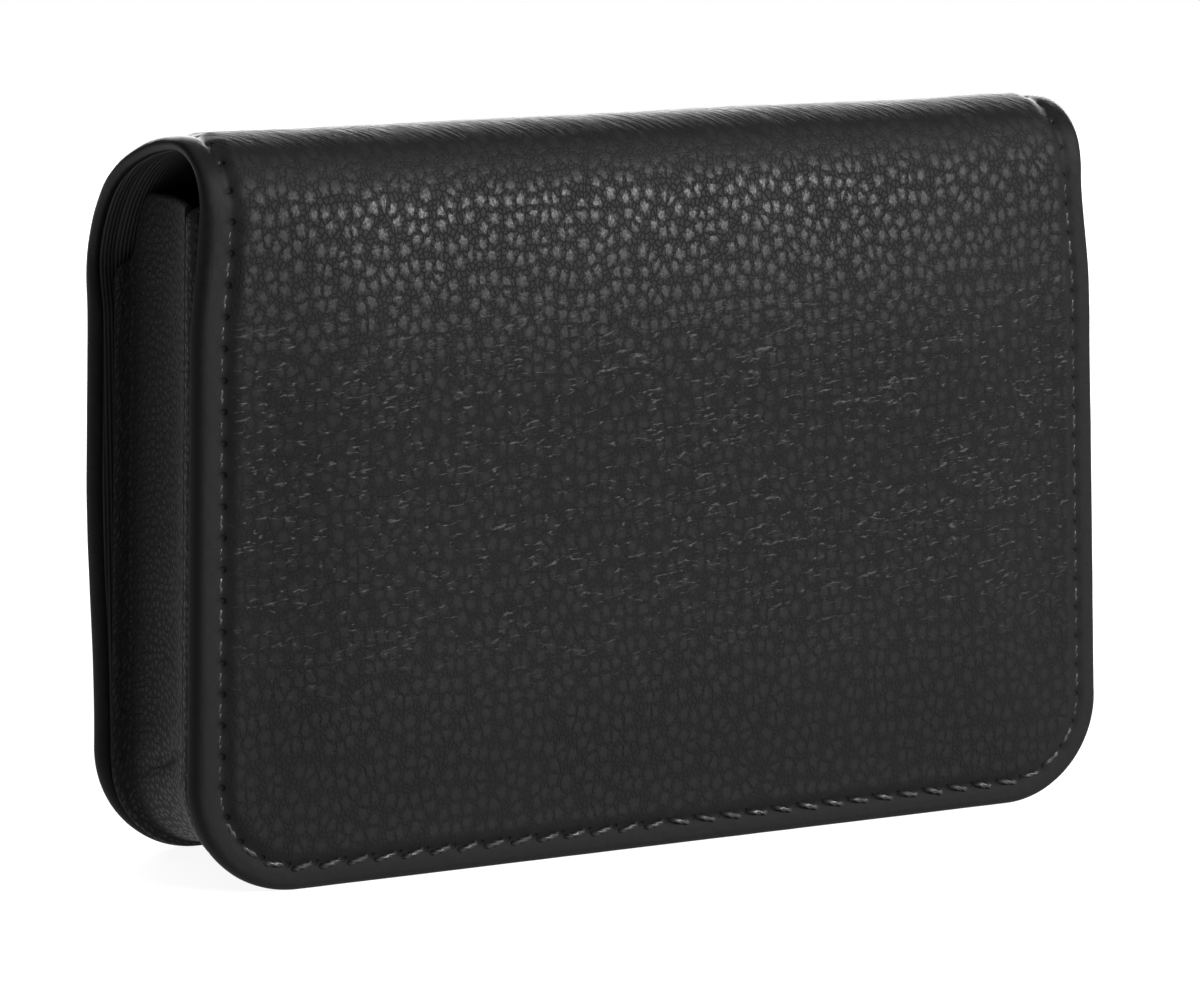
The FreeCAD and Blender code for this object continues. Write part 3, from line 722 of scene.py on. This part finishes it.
def outer_leather():
    """Black pebbled hide: streaked over the roll and dull down the flap, with painted shade in its
    creases and needle holes and painted highlights along the flap's wavy creases.
    """
    shader = Shader("black_pebbled_leather")
    flat = shader.coordinates("hide")
    across, length = hide_places(shader)
    pebbles, crown = pebble_height(shader, flat, width=1.5, length=1.9)
    grain = shader.noise(shader.coordinates("hide", (520, 260, 1)), 1.0, 3.0, 0.6)
    streaks = shader.noise(shader.coordinates("hide", (170, 24, 1), -0.6), 1.0, 3.0)
    on_roll = shader.times(shader.spread(length, -5, 8), shader.spread(length, 33, 41, 1.0, 0.0))
    dulled = shader.spread(length, 43, 62)
    middle, creases, painted_glints = wear_and_glints(shader, length)
    holes, field = seam_masks(shader)

    uneven = shader.spread(shader.noise(flat, 7, 2.0), 0.3, 0.7, 0.6, 1.15)
    relief = shader.times(pebbles, shader.ramp(on_roll, 1.0, 0.25),
                          shader.ramp(middle, 1.0, 0.5), uneven)
    relief = shader.plus(relief, grain, 0.2)
    relief = shader.plus(relief, shader.times(streaks, on_roll), 2.0)
    relief = shader.plus(relief, creases, -0.6)
    relief = shader.times(relief, shader.ramp(field, 0.2, 1.0))
    relief = shader.plus(relief, holes, -1.2)

    # Painted shade: the creases are painted darker and the crowns lighter, most strongly below the
    # roll and in the field, fainter down the flap and in the border.
    crease_shade = shader.times(shader.ramp(dulled, 1.0, 0.38), shader.ramp(field, 0.3, 1.0))
    tone = shader.blend_colours(shader.times(crown, crease_shade), (0.0015, 0.0015, 0.0017, 1),
                                (0.0062, 0.006, 0.006, 1))
    # Painted highlight: the glints along the flap's wavy creases are painted a lighter grey,
    # inside the stitched border.
    painted_glints = shader.times(painted_glints, field)
    tone = shader.blend_colours(painted_glints, tone, grey(0.026))
    # Painted shade: the needle holes are painted near black.
    shader.colour(shader.blend_colours(holes, tone, grey(0.001)))

    dim_left = shader.spread(across, -50, -30, 0.6, 1.0)
    dim_right = shader.spread(across, 12, 45, 1.0, 0.6)
    shine = shader.times(crown, shader.spread(grain, 0.35, 0.6, 0.55, 1.1),
                         shader.ramp(on_roll, 1.0, 0.15), shader.ramp(dulled, 1.0, 0.28),
                         shader.ramp(field, 0.3, 1.0), dim_left, dim_right)
    shine = shader.maths("MAXIMUM", shine, shader.times(painted_glints, 0.5))
    shine = shader.maths("MAXIMUM", shine, shader.ramp(field, 0.2, 0.0))
    rough = shader.ramp(shine, 0.84, 0.28)
    rough = shader.plus(rough, on_roll, -0.3)
    shader.roughness(shader.plus(rough, grain, 0.12))
    shader.constants(Specular_IOR_Level=0.14)
    return shader.finish(relief, 0.1)


def inner_leather():
    """The gusset's and pocket's thinner black leather, finer in the grain."""
    shader = Shader("black_fine_leather")
    flat = shader.coordinates("hide")
    pebbles, crown = pebble_height(shader, flat, width=0.9, length=1.0)
    grain = shader.noise(flat, 500, 3.0)
    # Painted shade: the creases are painted darker than the crowns.
    shader.colour(shader.blend_colours(crown, grey(0.003), (0.006, 0.0058, 0.0058, 1)))
    shader.roughness(shader.ramp(crown, 0.85, 0.45))
    shader.constants(Specular_IOR_Level=0.2)
    return shader.finish(shader.plus(pebbles, grain, 0.3), 0.1)


def weave(shader, value, pitch, shift=0.0):
    """Waves from 0 to 1 along one UV value, with a pitch in millimetres."""
    angle = shader.maths("MULTIPLY_ADD", value, 2 * math.pi * HIDE_UNIT / pitch, shift)
    return shader.ramp(shader.maths("SINE", angle), 0.5, 1.0)


def lining_fabric():
    """Black ribbed lining: ribs along the length, crossed by fine threads."""
    shader = Shader("black_ribbed_lining")
    flat = shader.coordinates("hide")
    where = shader.add("ShaderNodeSeparateXYZ", {0: flat})
    wobble = shader.times(shader.noise(flat, 30, 2.0), 0.8)
    rib = weave(shader, where.outputs[0], 0.42, wobble)
    pick = weave(shader, where.outputs[1], 0.35)
    fuzz = shader.noise(flat, 600, 2.0)
    shader.colour(shader.blend_colours(rib, (0.001, 0.001, 0.0011, 1), (0.016, 0.016, 0.017, 1)))
    shader.roughness(shader.ramp(fuzz, 0.6, 0.8))
    shader.constants(Specular_IOR_Level=0.2)
    relief = shader.plus(rib, pick, 0.3)
    return shader.finish(shader.plus(relief, fuzz, 0.3), 0.05)


def thread_material():
    """Waxed black thread with a soft shine along its fibres."""
    shader = Shader("waxed_black_thread")
    where = shader.add("ShaderNodeTexCoord").outputs["Object"]
    fibres = shader.noise(where, 5200, 2.0)
    patches = shader.noise(where, 900, 1.0)
    shader.colour(shader.blend_colours(fibres, (0.003, 0.003, 0.0032, 1),
                                       (0.014, 0.0135, 0.013, 1)))
    shader.roughness(shader.spread(patches, 0.3, 0.7, 0.32, 0.7))
    shader.constants(Specular_IOR_Level=0.28)
    return shader.finish(fibres, 0.05)


def plain_material(name, low, high, scale, rough, metallic=0.0):
    """Mottled finish for the layers that the leather hides."""
    shader = Shader(name)
    where = shader.add("ShaderNodeTexCoord").outputs["Object"]
    mottle = shader.noise(where, scale, 4.0, 0.6)
    shader.colour(shader.blend_colours(mottle, low, high))
    shader.roughness(shader.plus(rough, mottle, 0.2))
    shader.constants(Metallic=metallic)
    return shader.finish(mottle, 0.03)


# ---------------- pieces of the hide


class Stretch:
    """One of the four lengths of the hide, with its run, its two bodies and the imported nodes it
    replaces.
    """

    def __init__(self, name, start, end, bodies, nodes, spacing):
        self.name = name
        self.run = Run(start, end, spacing)
        self.bodies = bodies
        self.nodes = nodes
        self.start = start
        self.end = end

    def place(self, piece, slot, layer):
        """Bakes a piece's transform into its mesh and hides the imported nodes it replaces."""
        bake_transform(piece)
        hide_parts(*[f"{node}_{layer}" for node in self.nodes])


STRETCHES = [
    Stretch("back", None, 45, ("case", "roll_back"), ["back"], 0.6),
    Stretch("roll_rear", 45, 90, ("roll_back", "roll_top"), ["roll_back"], 0.4),
    Stretch("roll_front", 90, 135, ("roll_top", "roll_front"), ["roll_top"], 0.4),
    Stretch("flap", 135, None, ("roll_front", "flap"), ["roll_front", "flap"], 0.45),
]


def make_hide(leather):
    """The outer leather, in four lengths."""
    for stretch in STRETCHES:
        piece = hide_mesh(f"hide_{stretch.name}", stretch.run, outer_rows(0.47), leather)
        stretch.place(piece, "outer_leather", "leather")


BEYOND = 1000.0                # a length past either foot of the hide


def make_lining(fabric):
    """The lining inside the hide, in the same four lengths."""
    for stretch in STRETCHES:
        piece = hide_mesh(f"lining_{stretch.name}", stretch.run, lining_rows(1.2), fabric)
        stretch.place(piece, "lining_fabric", "lining")
        run = stretch.run
        length = run.roll_to - run.roll_from
        length += (BACK_TOP if run.with_back else 0) + (FLAP_TOP if run.with_flap else 0)
        width = 2 * HALF_TOP
        area = width * length
        if run.with_back or run.with_flap:
            area -= CORNER * CORNER * (2 - math.pi / 2)


def make_hide_stitches(thread):
    """The seam round the hide, as it shows on both faces."""
    for stretch in STRETCHES:
        low = -BEYOND if stretch.start is None else length_at(stretch.start)
        high = BEYOND if stretch.end is None else length_at(stretch.end)
        places = seam_places(low, high, inner=False) + seam_places(low, high, inner=True)
        piece = stitch_mesh(f"stitches_{stretch.name}", places, thread)
        stretch.place(piece, "thread", "stitching")


# ---------------- pocket front

POCKET_THICK = 2.2             # of the pocket front
POCKET_HEAD = 1.6              # radius of the pocket front's top corners
POCKET_Y = POCKET_LOW[1]
POCKET_STITCH_Y = POCKET_Y + 0.14
POCKET_STITCH = 1.1            # half the length of its stitches along the seam
FACES_FRONT = np.array([0.0, -1.0, 0.0])


def pocket_marks(spacing):
    """Fractions for the floor, corner, leg, top corner and top line."""
    floor_marks, corner_marks, leg_marks = u_marks(
        POCKET_HIGH[0], CORNER, POCKET_LOW[2], POCKET_HIGH[2], spacing)
    head_marks = np.linspace(0, 1, 7)[1:]
    top_marks = steps(HALF_TOP, spacing)[1:]
    return (floor_marks, corner_marks, leg_marks), head_marks, top_marks


def pocket_ring(inset, marks):
    """Right half of a closed ring of the pocket front, from bottom middle to top middle."""
    knee = 6.0
    edge = min(inset, knee)
    u_part, head_marks, top_marks = marks
    head = max(POCKET_HEAD - edge, 0.15)
    corner = CORNER - 0.2 - edge
    half_top = HALF_TOP - 0.2 - edge
    top = POCKET_HIGH[2] - edge
    x, z = u_half(half_top, POCKET_HIGH[0] - edge, corner, POCKET_LOW[2] + edge, top - head,
                  u_part)
    angle = head_marks * math.pi / 2
    centre_x = half_top - head
    x = np.concatenate([x, centre_x + head * np.cos(angle), centre_x * (1 - top_marks)])
    z = np.concatenate([z, top - head + head * np.sin(angle), top + 0 * top_marks])
    if inset > knee:
        middle = (POCKET_LOW[2] + POCKET_HIGH[2]) / 2
        share = 1 - (inset - knee) / (HALF_TOP - knee)
        x = x * share
        z = middle + (z - middle) * share
    return x, z


def pocket_mesh(name, rows, material, spacing=0.6):
    """A closed plate from rows of (inset, unrolled inset, depth from the front face)."""
    marks = pocket_marks(spacing)

    def row_points(row, side):
        inset, unrolled, depth = row
        x, z = pocket_ring(inset, marks)
        wave = 0.05 * soft_noise(x * side / 8, z / 8, 14) * smooth((inset - 3) / 5)
        flat_x, flat_z = pocket_ring(unrolled, marks)
        flat = np.stack([flat_x * side, flat_z], axis=1) / HIDE_UNIT
        return np.stack([x * side, POCKET_Y + depth + wave, z], axis=1), {"hide": flat}

    return two_halves(name, rows, row_points, material, "case")


def pocket_groove(inset):
    """Depth of the pocket's outer face at an inset."""
    return 0.3 * float(bump(inset - SEAM, 0.4)) + 0.25 * (1 - float(smooth(inset / 0.9)))


def make_pocket_front(leather):
    """The pocket front's leather, turned over its edge onto the inner face."""
    inner = POCKET_THICK
    rows = [(HALF_TOP, HALF_TOP, inner - 0.5), (20.0, 20.0, inner - 0.5),
            (1.5, -4.2, inner - 0.45), (1.1, -3.6, inner - 0.08), (0.7, -3.0, inner),
            (0.3, -2.6, inner - 0.08), (0.08, -2.2, inner - 0.35), (0.0, -1.5, inner - 0.9),
            (0.0, -1.0, 1.0), (0.1, -0.5, 0.6)]
    insets = list(np.arange(0.3, 5.0, 0.28)) + list(np.linspace(5.0, HALF_TOP, 90))
    rows += [(inset, inset, pocket_groove(inset)) for inset in insets]
    front = pocket_mesh("pocket_front", rows, leather)
    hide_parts("pocket_leather")


def make_pocket_lining(fabric):
    """Lining of the pocket front's inner face, with its folded edge."""
    inner = POCKET_THICK
    rows = [(HALF_TOP, HALF_TOP, inner - 0.35), (10.0, 10.0, inner - 0.35),
            (1.3, 1.3, inner - 0.3), (1.05, 1.1, inner - 0.1), (1.1, 1.2, inner + 0.03)]
    rows += [(inset, inset, inner + 0.08) for inset in np.linspace(1.3, HALF_TOP, 24)]
    lining = pocket_mesh("pocket_inner_lining", rows, fabric, 1.2)
    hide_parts("pocket_lining")


def make_pocket_stitches(thread):
    """The seam round the pocket front."""
    places = []
    x, z = pocket_ring(SEAM, pocket_marks(0.3))
    along = distance_along(x, z)
    count = round(along[-1] / PITCH)
    for index in range(count):
        middle = (index + 0.5) * along[-1] / count
        ends = [middle - POCKET_STITCH, middle + POCKET_STITCH]
        end_x = np.interp(ends, along, x)
        end_z = np.interp(ends, along, z)
        for side in (1, -1):
            first = np.array([end_x[0] * side, POCKET_STITCH_Y, end_z[0]])
            last = np.array([end_x[1] * side, POCKET_STITCH_Y, end_z[1]])
            places.append(stitch_place(first, last, FACES_FRONT, 0.45 * side))
    seam = stitch_mesh("pocket_stitches", places, thread)
    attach(seam, "case")
    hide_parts("pocket_stitching")


# ---------------- gusset

GUSSET_WALL = 0.9
GUSSET_FRONT = GUSSET_LOW[1]
GUSSET_BACK = GUSSET_HIGH[1]
GUSSET_TOP = GUSSET_HIGH[2] - 0.8
FRONT_INSET = 0.45             # of the side walls behind the pocket's edge
BACK_INSET = 3.2               # and in from the back panel's edge
FRONT_CORNER = 10.5
BACK_CORNER = 8.5
TRIM_FOOT = 60.5               # height where the top's slope ends, at the back panel
TRIM_REACH = 4.2               # how far forward the slope starts
HEM = 2.0                      # turned down inside the top
STRIP_SHIFT = 300.0            # sets the strip's grain apart from the pocket's


def gusset_inset(share):
    """Inset of the side walls, from the pocket (0) to the back panel (1)."""
    straight = FRONT_INSET + (BACK_INSET - FRONT_INSET) * share
    return straight + 1.25 * np.sin(math.pi * share) ** 1.2


def gusset_top(y):
    """Top of the strip: level, then sloping down under the roll."""
    slope = (y - (GUSSET_BACK - TRIM_REACH)) / TRIM_REACH
    return GUSSET_TOP - (GUSSET_TOP - TRIM_FOOT) * smooth(slope * 0.5 + 0.02) * 2


def gusset_line(y, extra, marks, drop=0.0, flare=0.0):
    """Right half of the strip's outline at a depth y, moved in by extra."""
    share = (y - GUSSET_FRONT) / (GUSSET_BACK - GUSSET_FRONT)
    inset = float(gusset_inset(share)) + extra - flare
    corner = FRONT_CORNER + (BACK_CORNER - FRONT_CORNER) * share - extra + flare * 0.5
    rise = 0.9 * math.sin(math.pi * share)
    floor = GUSSET_LOW[2] + extra + rise - flare * 0.2
    x, z = u_half(HALF_TOP - inset, HALF_LOW - inset, corner, floor, float(gusset_top(y)) - drop,
                  marks)
    return x, z, share


def gusset_fold(x, z, share, side):
    """Soft creases: a slanting fold low on the wall and small dents up it."""
    fold_z = 8.3 + (1 - share) * 6.5
    crease = 0.35 * bump(z - fold_z, 0.8) * (x > 30)
    swell = -0.25 * bump(z - fold_z - 2.6, 1.8) * (x > 30)
    dents = 0.16 * soft_noise(z / 6 + side * 7, share * 3 + 2, 17)
    small = 0.05 * soft_noise(z / 1.7 + side * 3, share * 9 + 5, 18)
    return (crease + swell + dents + small) * math.sin(math.pi * share) * (x > 20)


def gusset_mesh(name, rows, marks, material, wall):
    """Rows of (y, extra inset, drop of the top, flare, unrolled y), round a wall's section."""
    middle = rows[0][1] + wall / 2

    def row_points(row, side):
        y, extra, drop, flare, unrolled = row
        x, z, share = gusset_line(y, extra, marks, drop, flare)
        fold = gusset_fold(x, z, min(max(share, 0.0), 1.0), side)
        rounding = np.clip((z - z[-1] + wall / 2) / max(wall / 2, 0.01), 0.0, 1.0)
        fold = fold + (middle - extra) * (1 - np.sqrt(1 - rounding ** 2)) * (x > 20)
        unrolled_x = distance_along(x, z) * side + STRIP_SHIFT
        flat = np.stack([unrolled_x, unrolled + 0 * x], axis=1) / HIDE_UNIT
        return np.stack([(x - fold) * side, y + 0 * x, z], axis=1), {"hide": flat}

    return two_halves(name, rows, row_points, material, "case")


def gusset_marks():
    """Fractions along the strip, closer together at its hem."""
    floor_marks, corner_marks, leg_marks = u_marks(
        HALF_LOW, FRONT_CORNER, 0.6, GUSSET_HIGH[2], 0.5)
    close = 1 - np.array([0.35, 0.2, 0.1, 0.03]) / (GUSSET_HIGH[2] - FRONT_CORNER)
    return floor_marks, corner_marks, np.sort(np.concatenate([leg_marks, close]))


def make_gusset(leather, fabric):
    """The strip round the pocket's sides and floor, and its lining below the hem."""
    marks = gusset_marks()
    wall_front, wall_back = GUSSET_FRONT + 0.02, GUSSET_BACK - 0.75
    outer = [(y, 0.0, 0.0, 0.0, y) for y in np.linspace(wall_front, wall_back, 34)]
    flange = [(GUSSET_BACK - 0.6, 0.0, 0.3, 0.25, 11.0), (GUSSET_BACK - 0.55, 0.0, 0.6, 0.9, 11.7),
              (GUSSET_BACK - 0.52, 0.0, 1.0, 1.75, 12.6), (GUSSET_BACK - 0.3, 0.0, 1.1, 1.9, 13.0),
              (GUSSET_BACK - 0.06, 0.0, 1.1, 1.8, 13.3)]
    inner = [(y, GUSSET_WALL, 0.05, 0.0, 30 - y)
             for y in np.linspace(GUSSET_BACK - 0.06, wall_front, 20)]
    rows = outer + flange + inner
    rows.append(rows[0])
    wall = gusset_mesh("gusset_strip", rows, marks, leather, GUSSET_WALL)
    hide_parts("gusset")

    front = GUSSET_FRONT + 0.8
    back = GUSSET_BACK - 0.1
    rows = [(y, GUSSET_WALL + 0.35, HEM, 0.0, y) for y in np.linspace(front, back, 20)]
    lining = gusset_mesh("gusset_inner_lining", rows, marks, fabric, 0.0)
    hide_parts("gusset_lining")


# ---------------- hidden layers

def dress_hidden_nodes():
    """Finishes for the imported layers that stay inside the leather."""
    card = plain_material("grey_board", (0.16, 0.14, 0.11, 1), (0.24, 0.21, 0.17, 1), 700, 0.75)
    foam = plain_material("white_wadding", (0.55, 0.54, 0.5, 1), (0.75, 0.74, 0.7, 1), 900, 0.8)
    steel = plain_material("closure_disc", (0.4, 0.4, 0.4, 1), (0.55, 0.55, 0.55, 1), 500, 0.25,
                           metallic=1.0)
    finishes = {"board": card, "wadding": foam, "magnets": steel}
    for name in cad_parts:
        finish = finishes.get(name.split("_")[-1])
        if finish is None:
            continue
        node = bpy.data.objects[name]
        for slot in node.material_slots:
            slot.material = finish


# ---------------- floor, lights and camera

def make_floor():
    """A plain white floor, lit a little from itself so that it meets a white background."""
    mesh = bpy.data.meshes.new("floor")
    reach = 6.0
    mesh.from_pydata([(-reach, -reach, 0), (reach, -reach, 0), (reach, reach, 0),
                      (-reach, reach, 0)], [], [(0, 1, 2, 3)])
    shader = Shader("pale_floor")
    where = shader.add("ShaderNodeTexCoord").outputs["Object"]
    mottle = shader.noise(where, 3.0, 2.0)
    shader.colour(shader.blend_colours(mottle, grey(0.18), grey(0.2)))
    shader.constants(Roughness=0.9, Specular_IOR_Level=0.1, Emission_Strength=0.92,
                     Emission_Color=grey(1.0))
    mesh.materials.append(shader.material)
    floor = bpy.data.objects.new("floor", mesh)
    bpy.context.scene.collection.objects.link(floor)


def add_lamp(name, kind, place, target, power):
    """A light at a place, aimed at a target, in metres."""
    lamp = bpy.data.lights.new(name, kind)
    lamp.energy = power
    holder = bpy.data.objects.new(name, lamp)
    bpy.context.scene.collection.objects.link(holder)
    aim = Vector(target) - Vector(place)
    holder.matrix_world = (Matrix.Translation(place)
                           @ aim.to_track_quat("-Z", "Y").to_matrix().to_4x4())
    return lamp


def add_softbox(name, place, power, width, height):
    """A rectangular light aimed at the middle of the case, in metres and watts."""
    lamp = add_lamp(name, "AREA", place, (0.0, 0.0, 0.06), power)
    lamp.shape = "RECTANGLE"
    lamp.size = width
    lamp.size_y = height


def make_lights():
    """White surroundings, a wide overhead light and a softbox each side of the flap's plane."""
    world = bpy.data.worlds.new("studio")
    world.use_nodes = True
    background = world.node_tree.nodes["Background"]
    background.inputs["Color"].default_value = grey(1.0)
    background.inputs["Strength"].default_value = 0.1
    bpy.context.scene.world = world
    bpy.context.scene.view_settings.view_transform = "Standard"
    overhead = add_lamp("overhead", "SUN", (-0.05, 0.15, 1.0), (0.0, 0.0, 0.0), 0.8)
    overhead.angle = math.radians(70)
    add_softbox("front_softbox", (0.32, -0.6, 0.27), 16.5, 0.55, 0.22)
    add_softbox("rear_softbox", (0.42, 0.76, 0.32), 14.0, 1.0, 0.42)


CAMERA_AIM = Vector((-0.22, 0.0, 34.79))       # the point in the middle of the picture
CAMERA_DISTANCE = 575.8
CAMERA_LEFT = math.radians(29.269)             # round to the left of the flap
CAMERA_ABOVE = math.radians(8.28)
CAMERA_ROLL = math.radians(-0.29)
CAMERA_LENS = 166.4                            # focal length on a sensor 36 mm wide


def make_camera():
    """A camera a little left of the flap and above it."""
    lens = bpy.data.cameras.new("camera")
    lens.sensor_fit = "HORIZONTAL"
    lens.sensor_width = 36.0
    lens.lens = CAMERA_LENS
    holder = bpy.data.objects.new("camera", lens)
    bpy.context.scene.collection.objects.link(holder)
    holder.matrix_world = (Matrix.Translation(CAMERA_AIM * MM)
                           @ Matrix.Rotation(-CAMERA_LEFT, 4, "Z")
                           @ Matrix.Rotation(math.pi / 2 - CAMERA_ABOVE, 4, "X")
                           @ Matrix.Rotation(CAMERA_ROLL, 4, "Z")
                           @ Matrix.Translation((0.0, 0.0, CAMERA_DISTANCE * MM)))
    bpy.context.scene.camera = holder


make_camera()
outer = outer_leather()
inner = inner_leather()
fabric = lining_fabric()
thread = thread_material()
make_hide(outer)
make_lining(fabric)
make_hide_stitches(thread)
make_pocket_front(inner)
make_pocket_lining(fabric)
make_pocket_stitches(thread)
make_gusset(inner, fabric)
dress_hidden_nodes()
make_floor()
make_lights()
